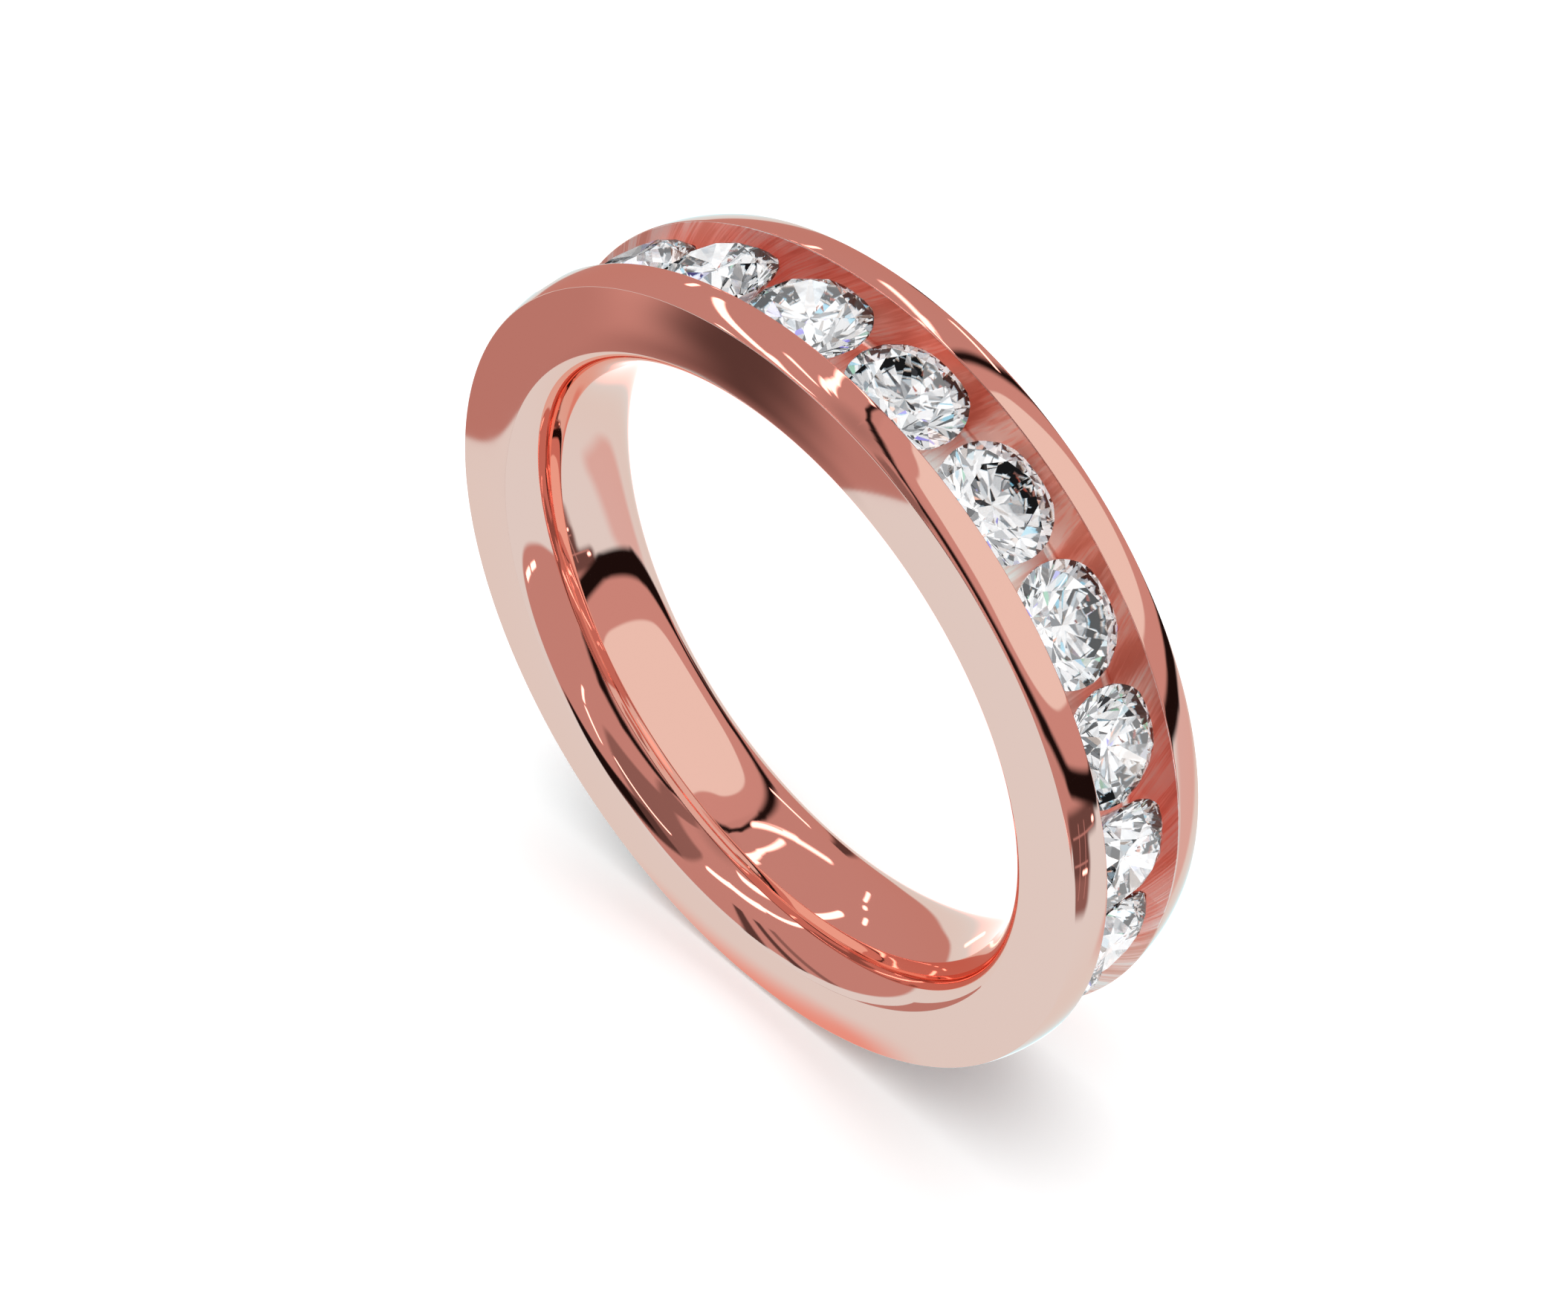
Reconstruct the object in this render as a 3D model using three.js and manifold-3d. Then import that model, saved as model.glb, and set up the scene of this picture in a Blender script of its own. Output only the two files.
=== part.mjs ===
// Full-eternity wedding band: one cast rose gold ring with a channel round its outside,
// and a row of round brilliant diamonds held in that channel by seats cut in its two walls.
//
// Units are millimetres. The finger axis is Y, +Z is up, and the origin is the ring's centre.
// The first diamond sits at the top of the ring.

import * as THREE from 'three';
import { mergeVertices } from 'three/addons/utils/BufferGeometryUtils.js';
import Module from 'manifold-3d';

// ---- driving dimensions -------------------------------------------------------------------

// band: radii are measured from the finger axis, widths along it
const BAND_WIDTH = 4.4;
const SIDE_FACE_RADIUS = 11.25; // outer edge of the flat side faces
const LIP_RADIUS = 11.45; // top edge of the channel walls
const RIM_BULGE = 0.045; // how far each rim swells past a straight line from lip to side face
const CHANNEL_WIDTH = 2.52;
const FLOOR_RADIUS = 9.77; // bottom of the channel
const FLOOR_FILLET = 0.2; // rounding where the channel walls meet its floor

// comfort-fit bore: its section is the middle of an ellipse
const BORE_RADIUS = 8.68; // narrowest place, halfway along the finger axis
const BORE_ELLIPSE_WIDTH = 2.25; // half axis along the finger
const BORE_ELLIPSE_DEPTH = 1.07; // half axis along the radius

// round brilliant diamonds, with the usual angles and shares of the diameter
const STONE_COUNT = 21;
const STONE_DIAMETER = 3.0;
const GIRDLE_RADIUS = 10.73; // middle of the girdle, from the finger axis
const TABLE_SHARE = 0.57;
const GIRDLE_SHARE = 0.03;
const STAR_LENGTH = 0.5; // from table edge to girdle
const LOWER_HALF_LENGTH = 0.77; // from girdle to culet
const CROWN_ANGLE = THREE.MathUtils.degToRad(34.5);
const PAVILION_ANGLE = THREE.MathUtils.degToRad(40.75);

// seats cut for the diamonds
const SEAT_CLEARANCE = 0.1;

// smoothness of the solids
const BAND_STEPS = STONE_COUNT * 4;
const BORE_STEPS = 10;
const RIM_STEPS = 3;
const FILLET_STEPS = 2;
const SEAT_STEPS = 16;

// ---- materials ----------------------------------------------------------------------------

const roseGold = new THREE.MeshStandardMaterial({
  name: 'rose_gold',
  color: 0xc98a7c,
  roughness: 0.05,
  metalness: 1.0,
});

const diamond = new THREE.MeshStandardMaterial({
  name: 'diamond',
  color: 0xf4f6f8,
  roughness: 0.0,
  metalness: 0.0,
});

// ---- derived sizes ------------------------------------------------------------------------

const stoneRadius = STONE_DIAMETER / 2;
const tableRadius = stoneRadius * TABLE_SHARE;
const girdleHalf = (STONE_DIAMETER * GIRDLE_SHARE) / 2;
const crownHeight = (stoneRadius - tableRadius) * Math.tan(CROWN_ANGLE);
const pavilionDepth = stoneRadius * Math.tan(PAVILION_ANGLE);
const stonePitch = (2 * Math.PI) / STONE_COUNT;

// ---- the band -----------------------------------------------------------------------------

// Points of an arc through two ends that swells to the right of the way from one to the other.
// The last point is left out, because the next stretch of the outline starts there.
function bulgedEdge(from, to, bulge, steps) {
  const chord = new THREE.Vector2().subVectors(to, from);
  const outward = new THREE.Vector2(chord.y, -chord.x).normalize();
  const points = [];
  for (let i = 0; i < steps; i += 1) {
    const t = i / steps;
    const point = from.clone().addScaledVector(chord, t);
    points.push(point.addScaledVector(outward, bulge * 4 * t * (1 - t)));
  }
  return points;
}

// The rounded corner between the channel floor and the wall on one side (side is 1 or -1),
// from the floor to the wall.
function floorFillet(side) {
  const points = [];
  for (let i = 0; i <= FILLET_STEPS; i += 1) {
    const angle = (i / FILLET_STEPS) * (Math.PI / 2);
    const radius = FLOOR_RADIUS + FLOOR_FILLET * (1 - Math.cos(angle));
    const y = CHANNEL_WIDTH / 2 - FLOOR_FILLET * (1 - Math.sin(angle));
    points.push(new THREE.Vector2(radius, side * y));
  }
  return points;
}

// The bore's section, from the +Y side face to the -Y one.
function boreSection() {
  const limit = Math.asin(BAND_WIDTH / 2 / BORE_ELLIPSE_WIDTH);
  const points = [];
  for (let i = 0; i <= BORE_STEPS; i += 1) {
    const angle = limit * (1 - (2 * i) / BORE_STEPS);
    const radius = BORE_RADIUS + BORE_ELLIPSE_DEPTH * (1 - Math.cos(angle));
    points.push(new THREE.Vector2(radius, BORE_ELLIPSE_WIDTH * Math.sin(angle)));
  }
  return points;
}

// The band's whole section, as x = radius and y = place along the finger, closed on itself.
function bandSection() {
  const half = BAND_WIDTH / 2;
  const lip = CHANNEL_WIDTH / 2;
  const nearEdge = new THREE.Vector2(SIDE_FACE_RADIUS, -half);
  const nearLip = new THREE.Vector2(LIP_RADIUS, -lip);
  const farLip = new THREE.Vector2(LIP_RADIUS, lip);
  const farEdge = new THREE.Vector2(SIDE_FACE_RADIUS, half);
  const outline = [
    ...bulgedEdge(nearEdge, nearLip, RIM_BULGE, RIM_STEPS),
    nearLip,
    ...floorFillet(-1).reverse(),
    ...floorFillet(1),
    ...bulgedEdge(farLip, farEdge, RIM_BULGE, RIM_STEPS),
    farEdge,
    ...boreSection(),
  ];
  outline.push(outline[0].clone());
  return outline;
}

// A tool with the shape of a diamond and the clearance round it: its crown stops at the
// table's height, and its point is blunt.
function seatSection() {
  const reach = stoneRadius + SEAT_CLEARANCE;
  const top = girdleHalf + crownHeight + SEAT_CLEARANCE;
  const bottom = -girdleHalf - pavilionDepth - SEAT_CLEARANCE;
  const bluntRadius = SEAT_CLEARANCE * 2;
  return [
    new THREE.Vector2(0, bottom),
    new THREE.Vector2(bluntRadius, bottom),
    new THREE.Vector2(reach, -girdleHalf),
    new THREE.Vector2(reach, girdleHalf),
    new THREE.Vector2(tableRadius + SEAT_CLEARANCE, top),
    new THREE.Vector2(0, top),
  ];
}

// ---- booleans -----------------------------------------------------------------------------

const wasm = await Module();
wasm.setup();

function toSolid(geometry) {
  const bare = geometry.clone();
  bare.deleteAttribute('normal');
  bare.deleteAttribute('uv');
  const merged = mergeVertices(bare, 1e-5);
  return new wasm.Manifold(
    new wasm.Mesh({
      numProp: 3,
      vertProperties: new Float32Array(merged.attributes.position.array),
      triVerts: new Uint32Array(merged.index.array),
    }),
  );
}

function toGeometry(solid) {
  const mesh = solid.getMesh();
  const geometry = new THREE.BufferGeometry();
  geometry.setAttribute('position', new THREE.BufferAttribute(mesh.vertProperties, 3));
  geometry.setIndex(new THREE.BufferAttribute(mesh.triVerts, 1));
  geometry.computeVertexNormals();
  return geometry;
}

// ---- the diamonds -------------------------------------------------------------------------

// Where stone number i sits: its table faces away from the finger axis.
function stoneMatrix(i) {
  const turn = new THREE.Matrix4().makeRotationY(i * stonePitch);
  return turn.multiply(new THREE.Matrix4().makeTranslation(0, 0, GIRDLE_RADIUS));
}

// A round brilliant with 57 facets and a 16-sided girdle. Its table faces +Z, and its girdle is
// centred on the origin. Ring 0 is the table, 1 the star tips, 2 and 3 the girdle's two edges,
// 4 the tips of the lower halves.
function brilliantGeometry() {
  const eighth = Math.PI / 4;
  const sixteenth = Math.PI / 8;
  const tableEdge = tableRadius * Math.cos(sixteenth);
  const starRadius = tableEdge + STAR_LENGTH * (stoneRadius - tableEdge);
  const starDrop = (starRadius * Math.cos(sixteenth) - tableRadius) * Math.tan(CROWN_ANGLE);
  const lowerRadius = stoneRadius * (1 - LOWER_HALF_LENGTH);
  const lowerDrop = (stoneRadius - lowerRadius * Math.cos(sixteenth)) * Math.tan(PAVILION_ANGLE);
  const rings = [
    { count: 8, offset: 0, radius: tableRadius, z: girdleHalf + crownHeight },
    { count: 8, offset: sixteenth, radius: starRadius, z: girdleHalf + crownHeight - starDrop },
    { count: 16, offset: 0, radius: stoneRadius, z: girdleHalf },
    { count: 16, offset: 0, radius: stoneRadius, z: -girdleHalf },
    { count: 8, offset: sixteenth, radius: lowerRadius, z: -girdleHalf - lowerDrop },
  ];
  const positions = [];
  const starts = [];
  for (const ring of rings) {
    starts.push(positions.length / 3);
    for (let i = 0; i < ring.count; i += 1) {
      const angle = ring.offset + i * (ring.count === 8 ? eighth : sixteenth);
      positions.push(ring.radius * Math.cos(angle), ring.radius * Math.sin(angle), ring.z);
    }
  }
  const culet = positions.length / 3;
  positions.push(0, 0, -girdleHalf - pavilionDepth);

  const at = (ring, i) => starts[ring] + ((i + rings[ring].count) % rings[ring].count);
  const faces = [];
  for (let k = 1; k < 7; k += 1) {
    faces.push([at(0, 0), at(0, k), at(0, k + 1)]); // table
  }
  for (let k = 0; k < 8; k += 1) {
    const even = 2 * k;
    faces.push([at(0, k), at(1, k), at(0, k + 1)]); // star
    faces.push([at(0, k), at(1, k - 1), at(2, even)]); // kite, two halves
    faces.push([at(0, k), at(2, even), at(1, k)]);
    faces.push([at(1, k), at(2, even), at(2, even + 1)]); // upper halves
    faces.push([at(1, k), at(2, even + 1), at(2, even + 2)]);
    faces.push([at(4, k), at(3, even + 1), at(3, even)]); // lower halves
    faces.push([at(4, k), at(3, even + 2), at(3, even + 1)]);
    faces.push([culet, at(3, even), at(4, k - 1)]); // pavilion main, two halves
    faces.push([culet, at(4, k), at(3, even)]);
  }
  for (let i = 0; i < 16; i += 1) {
    faces.push([at(2, i), at(3, i), at(3, i + 1)]); // girdle
    faces.push([at(2, i), at(3, i + 1), at(2, i + 1)]);
  }
  const geometry = new THREE.BufferGeometry();
  geometry.setAttribute('position', new THREE.Float32BufferAttribute(positions, 3));
  geometry.setIndex(faces.flat());
  geometry.computeVertexNormals();
  return geometry;
}

// ---- assembly -----------------------------------------------------------------------------

const group = new THREE.Group();

function makeBand() {
  let solid = toSolid(new THREE.LatheGeometry(bandSection(), BAND_STEPS));
  const seat = new THREE.LatheGeometry(seatSection(), SEAT_STEPS).rotateX(Math.PI / 2);
  for (let i = 0; i < STONE_COUNT; i += 1) {
    solid = solid.subtract(toSolid(seat.clone().applyMatrix4(stoneMatrix(i))));
  }
  const band = new THREE.Mesh(toGeometry(solid), roseGold);
  band.name = 'band';
  return band;
}

function makeStone(i, geometry) {
  const stone = new THREE.Mesh(geometry, diamond);
  stone.name = `stone_${String(i + 1).padStart(2, '0')}`;
  stoneMatrix(i).decompose(stone.position, stone.quaternion, stone.scale);
  return stone;
}

group.add(makeBand());
const brilliant = brilliantGeometry();
for (let i = 0; i < STONE_COUNT; i += 1) {
  group.add(makeStone(i, brilliant));
}

export default group;
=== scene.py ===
"""A wedding band: a polished rose gold ring with a channel round its outside, set all the way
round with brilliant-cut diamonds. Metres, finger axis along Y, +Z up, origin at the ring's centre.
"""

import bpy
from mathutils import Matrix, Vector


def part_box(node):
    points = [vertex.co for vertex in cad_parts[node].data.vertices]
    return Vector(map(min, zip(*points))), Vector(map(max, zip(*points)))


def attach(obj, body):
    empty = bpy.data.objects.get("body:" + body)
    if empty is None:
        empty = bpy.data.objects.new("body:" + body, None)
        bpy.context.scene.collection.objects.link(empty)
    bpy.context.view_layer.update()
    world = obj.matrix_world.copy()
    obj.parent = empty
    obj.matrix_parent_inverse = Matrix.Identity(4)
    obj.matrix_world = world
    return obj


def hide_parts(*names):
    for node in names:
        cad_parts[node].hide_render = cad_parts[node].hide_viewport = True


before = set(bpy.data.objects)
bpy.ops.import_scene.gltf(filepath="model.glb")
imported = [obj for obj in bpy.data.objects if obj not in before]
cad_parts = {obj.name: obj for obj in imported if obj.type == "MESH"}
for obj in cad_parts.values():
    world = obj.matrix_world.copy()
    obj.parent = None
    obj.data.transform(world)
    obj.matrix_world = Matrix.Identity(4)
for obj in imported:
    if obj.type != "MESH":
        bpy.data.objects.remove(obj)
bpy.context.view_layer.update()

import math

import bmesh
import bpy
from mathutils import Matrix, Vector

bl_info = {
    "name": "Channel-set wedding band",
    "version": (1, 0, 0),
    "blender": (4, 5, 0),
    "location": "View3D > Sidebar > Wedding Band",
    "description": "Makes a rose gold band with a full circle of channel-set diamonds",
    "category": "Add Mesh",
}

MM = 0.001
BAND_LOW, BAND_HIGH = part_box("band")
STONE_LOW, STONE_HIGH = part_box("stone_01")
STONE_NODES = sorted(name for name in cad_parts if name.startswith("stone_"))


# ---- colours and nodes --------------------------------------------------------------------


def linear(hex_colour):
    """The linear RGB of an sRGB hex colour such as "C98A7C"."""
    channels = []
    for start in (0, 2, 4):
        value = int(hex_colour[start : start + 2], 16) / 255
        low = value <= 0.04045
        channels.append(value / 12.92 if low else ((value + 0.055) / 1.055) ** 2.4)
    return tuple(channels)


def opaque(colour):
    return (*colour, 1.0)


def add_node(tree, kind, inputs=None, **settings):
    """Adds one node. An input is given by name or number, as a value or as the socket to link."""
    node = tree.nodes.new(kind)
    for name, value in settings.items():
        setattr(node, name, value)
    for name, value in (inputs or {}).items():
        if isinstance(value, bpy.types.NodeSocket):
            tree.links.new(value, node.inputs[name])
        else:
            node.inputs[name].default_value = value
    return node


def new_material(name):
    """An empty node material, its tree and its output node."""
    material = bpy.data.materials.new(name)
    material.use_nodes = True
    material.node_tree.nodes.clear()
    output = add_node(material.node_tree, "ShaderNodeOutputMaterial")
    return material, material.node_tree, output


# ---- sizes and colours that a user may change ----------------------------------------------


def length(name, description, default):
    return bpy.props.FloatProperty(
        name=name, description=description, default=default, unit="LENGTH", precision=5
    )


def angle(name, description, degrees):
    return bpy.props.FloatProperty(
        name=name, description=description, default=math.radians(degrees), subtype="ANGLE"
    )


def share(name, description, default):
    return bpy.props.FloatProperty(
        name=name, description=description, default=default, min=0.0, max=1.0, subtype="FACTOR"
    )


def colour(name, description, hex_colour):
    return bpy.props.FloatVectorProperty(
        name=name, description=description, default=linear(hex_colour), size=3, subtype="COLOR"
    )


def strength(name, description, default):
    return bpy.props.FloatProperty(name=name, description=description, default=default, min=0.0)


class BandSettings(bpy.types.PropertyGroup):
    """The gold ring's section and finish"""

    width: length("Width", "Width along the finger", BAND_HIGH.y - BAND_LOW.y)
    lip_radius: length("Lip radius", "Top edge of the channel walls", BAND_HIGH.z)
    side_radius: length("Side radius", "Outer edge of the flat side faces", 11.25 * MM)
    rim_bulge: length("Rim bulge", "Swell of each rim past a straight line", 0.045 * MM)
    channel_width: length("Channel width", "Distance between the channel walls", 2.52 * MM)
    floor_radius: length("Floor radius", "Bottom of the channel", 9.77 * MM)
    floor_fillet: length("Floor fillet", "Rounding at the foot of the walls", 0.2 * MM)
    bore_radius: length("Bore radius", "Narrowest place of the finger hole", 8.68 * MM)
    bore_width: length("Bore curve width", "Half axis of the bore's ellipse", 2.25 * MM)
    bore_depth: length("Bore curve depth", "Half axis of the bore's ellipse", 1.07 * MM)
    edge_radius: length("Edge radius", "Rounding left on the edges by polishing", 0.03 * MM)
    seat_clearance: length("Seat clearance", "Room round each diamond", 0.01 * MM)
    gold: colour("Gold", "Colour of the rose gold", "FFA797")
    gold_in_gold: colour("Gold in gold", "Colour of the gold as the gold mirrors it", "FFD0C4")
    edge_tint: colour("Edge tint", "Keeps the gold's colour where it is seen edge on", "FFDDD4")
    # Deep and pale gold are painted reflection streaks: dark and bright lines laid into the brushed
    # channel's colour, with satin gold between them.
    painted_dark_streak_gold: colour("Deep gold", "Darkest lines of the brushed channel", "EFAFA1")
    satin_gold: colour("Satin gold", "Brushed channel between its lines", "FFC8BD")
    painted_bright_streak_gold: colour("Pale gold", "Lightest lines of the brushed channel", "FFE6E0")
    # Side gold is painted shade: it darkens and reddens the channel towards the ring's sides, away
    # from the turn that has none.
    painted_side_shade_gold: colour("Side gold", "Tint of the channel at the sides of the ring", "FFD9D3")
    roughness: share("Roughness", "How far polishing is from a perfect mirror", 0.03)
    satin_roughness: share("Satin roughness", "How soft the brushed channel is", 0.3)


class DiamondSettings(bpy.types.PropertyGroup):
    """The diamonds' number, place and cut"""

    count: bpy.props.IntProperty(
        name="Count", description="Diamonds round the band", default=len(STONE_NODES), min=1
    )
    diameter: length("Diameter", "Across the girdle", STONE_HIGH.x - STONE_LOW.x)
    girdle_radius: length("Girdle radius", "Girdle from the finger axis", 10.73 * MM)
    table: share("Table", "Table width as a share of the diameter", 0.57)
    girdle: share("Girdle", "Girdle thickness as a share of the diameter", 0.03)
    star: share("Star length", "Star facets, from table edge to girdle", 0.5)
    lower: share("Lower halves", "Lower half facets, from girdle to point", 0.77)
    crown_angle: angle("Crown angle", "Slope of the main crown facets", 34.5)
    pavilion_angle: angle("Pavilion angle", "Slope of the main pavilion facets", 40.75)
    index: bpy.props.FloatProperty(
        name="Refractive index", description="How strongly the stone bends light", default=2.417
    )
    fire: bpy.props.FloatProperty(
        name="Fire", description="Spread of the index from yellow to blue", default=0.09
    )
    warm: colour("Warm fire", "Light that bends least", "FFE1CB")
    cool: colour("Cool fire", "Light that bends most", "CBECFF")
    fire_share: share("Fire share", "How much of the light is spread by its colour", 0.6)


class StageSettings(bpy.types.PropertyGroup):
    """The floor, the lights and the camera"""

    floor: colour("Floor", "Colour of the floor", "FAFAFA")
    soft_light: strength("Soft light", "Strength of the even light on the floor", 1.36)
    overhead: strength("Overhead", "How far that light comes from straight above", 3.0)
    sparkle: strength("Sparkle", "Strength of the light that the diamonds gather", 1.4)
    azimuth: angle("Azimuth", "Camera's bearing round the ring", 46.52)
    elevation: angle("Elevation", "Camera's height above the horizon", 43.72)
    distance: length("Distance", "Camera's distance from the ring's centre", 72.34 * MM)
    slide_right: length("Slide right", "Camera's sideways move", -0.59 * MM)
    slide_up: length("Slide up", "Camera's upward move", 0.178 * MM)
    lens: bpy.props.FloatProperty(
        name="Lens", description="Focal length on a 36 mm sensor", default=64.25
    )


# ---- the band -----------------------------------------------------------------------------

BAND_STEPS = 504
BORE_STEPS = 48
RIM_STEPS = 14
CORNER_STEPS = 5
SEAT_STEPS = 48
SHARP_ANGLE = math.radians(30)

HAZE_PER_METRE = 450.0
# The brushed lines, which also carry the painted reflection streaks: how many to a millimetre along
# the channel, and how little each kind changes from lip to floor. A burr's real lines are finer;
# these are drawn as coarse as shows.
BRUSH_LINES = ((1.5, 0.22), (12.0, 0.07))
BRUSH_ACROSS = 0.2
FINE_LINES_SHARE = 0.38
# The lines' slant, which the painted reflection streaks follow, changes evenly round the ring
# between these turns from the top.
LEAN_START = (math.radians(-10), -1.55)
LEAN_END = (math.radians(100), 2.3)
# Turn from the top where the channel has no painted shade; the painted side shade grows from 34 to
# 60 degrees away from it.
NO_PAINTED_SHADE_TURN = math.radians(30)
BRUSH_BELOW_FLOOR = 0.6 * MM


def bulged(start, end, bulge, steps):
    """Points of an arc from start to end that swells to the right of the way, ends included."""
    way = end - start
    outward = Vector((way.y, -way.x)).normalized()
    points = []
    for i in range(steps + 1):
        t = i / steps
        points.append(start + way * t + outward * bulge * 4 * t * (1 - t))
    return points


def rounded(before, corner, after, radius, steps=CORNER_STEPS):
    """Points of the arc that rounds a corner between two neighbouring points."""
    back = (before - corner).normalized()
    ahead = (after - corner).normalized()
    half = back.angle(ahead) / 2
    centre = corner + (back + ahead).normalized() * radius / math.sin(half)
    reach = radius / math.tan(half)
    start = corner + back * reach - centre
    end = corner + ahead * reach - centre
    turn = start.angle_signed(end)
    points = []
    for i in range(steps + 1):
        swing = -turn * i / steps
        c = math.cos(swing)
        s = math.sin(swing)
        points.append(centre + Vector((start.x * c - start.y * s, start.x * s + start.y * c)))
    return points


def band_section(b):
    """The band's outline as (radius, place along the finger), from the -Y side face round by the
    channel and the +Y side face to the bore."""
    half = b.width / 2
    lip = b.channel_width / 2
    outer = bulged(
        Vector((b.side_radius, -half)), Vector((b.lip_radius, -lip)), b.rim_bulge, RIM_STEPS
    )
    foot = Vector((b.floor_radius, -lip))
    limit = math.asin(half / b.bore_width)
    bore = []
    for i in range(BORE_STEPS + 1):
        swing = limit * (2 * i / BORE_STEPS - 1)
        radius = b.bore_radius + b.bore_depth * (1 - math.cos(swing))
        bore.append(Vector((radius, -b.bore_width * math.sin(swing))))
    side = [
        *rounded(bore[-1], outer[0], outer[1], b.edge_radius),
        *outer[1:-1],
        *rounded(outer[-2], outer[-1], foot, b.edge_radius),
        *rounded(outer[-1], foot, Vector((b.floor_radius, 0)), b.floor_fillet),
    ]
    crease = rounded(bore[-2], bore[-1], outer[0], b.edge_radius)
    near = [*crease, *side]
    far = [Vector((p.x, -p.y)) for p in reversed(near)]
    return [*near, *far, *bore[1:-1]]


def lathe(section, steps, axis):
    """A closed mesh made by turning a section of (radius, place) round the Y or Z axis."""
    mesh = bmesh.new()
    rows = []
    for i in range(steps):
        turn = math.tau * i / steps
        c = math.cos(turn)
        s = math.sin(turn)
        row = []
        for point in section:
            if axis == "Y":
                place = (point[0] * s, point[1], point[0] * c)
            else:
                place = (point[0] * c, point[0] * s, point[1])
            row.append(mesh.verts.new(place))
        rows.append(row)
    count = len(section)
    for i in range(steps):
        here = rows[i]
        there = rows[(i + 1) % steps]
        for j in range(count):
            k = (j + 1) % count
            mesh.faces.new((here[j], there[j], there[k], here[k]))
    bmesh.ops.remove_doubles(mesh, verts=mesh.verts, dist=1e-7)
    bmesh.ops.recalc_face_normals(mesh, faces=mesh.faces)
    return mesh


def new_object(name, mesh):
    """A scene object from a bmesh, which is freed."""
    data = bpy.data.meshes.new(name)
    mesh.to_mesh(data)
    mesh.free()
    made = bpy.data.objects.new(name, data)
    bpy.context.scene.collection.objects.link(made)
    return made


def baked(made):
    """Turns an object's modifiers into its plain mesh."""
    depsgraph = bpy.context.evaluated_depsgraph_get()
    data = bpy.data.meshes.new_from_object(made.evaluated_get(depsgraph))
    data.name = made.name
    made.modifiers.clear()
    made.data = data
    return made


def smooth(data, sharp_angle):
    """Smooth faces, with the edges past an angle kept sharp."""
    data.shade_smooth()
    data.set_sharp_from_angle(angle=sharp_angle)


def seat_section(b, d):
    """A diamond's outline with its clearance, as (radius, height), the tool that cuts a seat."""
    radius = d.diameter / 2
    half_girdle = d.diameter * d.girdle / 2
    table_radius = radius * d.table
    top = half_girdle + (radius - table_radius) * math.tan(d.crown_angle) + b.seat_clearance
    bottom = -half_girdle - radius * math.tan(d.pavilion_angle) - b.seat_clearance
    reach = radius + b.seat_clearance
    return [
        (0, bottom),
        (2 * b.seat_clearance, bottom),
        (reach, -half_girdle),
        (reach, half_girdle),
        (table_radius + b.seat_clearance, top),
        (0, top),
    ]


def rose_gold(b):
    """14 carat rose gold, mirror polished: warm pink reflections, softened a little by the faint
    haze and the finest hairlines that a polishing wheel leaves."""
    material, tree, output = new_material("polished_rose_gold")
    place = add_node(tree, "ShaderNodeTexCoord").outputs["Object"]
    haze = add_node(
        tree, "ShaderNodeTexNoise", {"Vector": place, "Scale": HAZE_PER_METRE, "Detail": 3.0}
    )
    roughness = add_node(
        tree,
        "ShaderNodeMapRange",
        {
            "Value": haze.outputs["Fac"],
            "From Min": 0.3,
            "From Max": 0.7,
            "To Min": b.roughness * 0.6,
            "To Max": b.roughness * 1.4,
        },
    )
    mirrored = add_node(tree, "ShaderNodeLightPath").outputs["Is Glossy Ray"]
    tint = add_node(
        tree,
        "ShaderNodeMix",
        {0: mirrored, 6: opaque(b.gold), 7: opaque(b.gold_in_gold)},
        data_type="RGBA",
    )
    shader = add_node(
        tree,
        "ShaderNodeBsdfPrincipled",
        {
            "Base Color": tint.outputs[2],
            "Metallic": 1.0,
            "Roughness": roughness.outputs["Result"],
            "Specular Tint": opaque(b.edge_tint),
        },
    )
    tree.links.new(shader.outputs["BSDF"], output.inputs["Surface"])
    return material


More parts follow.
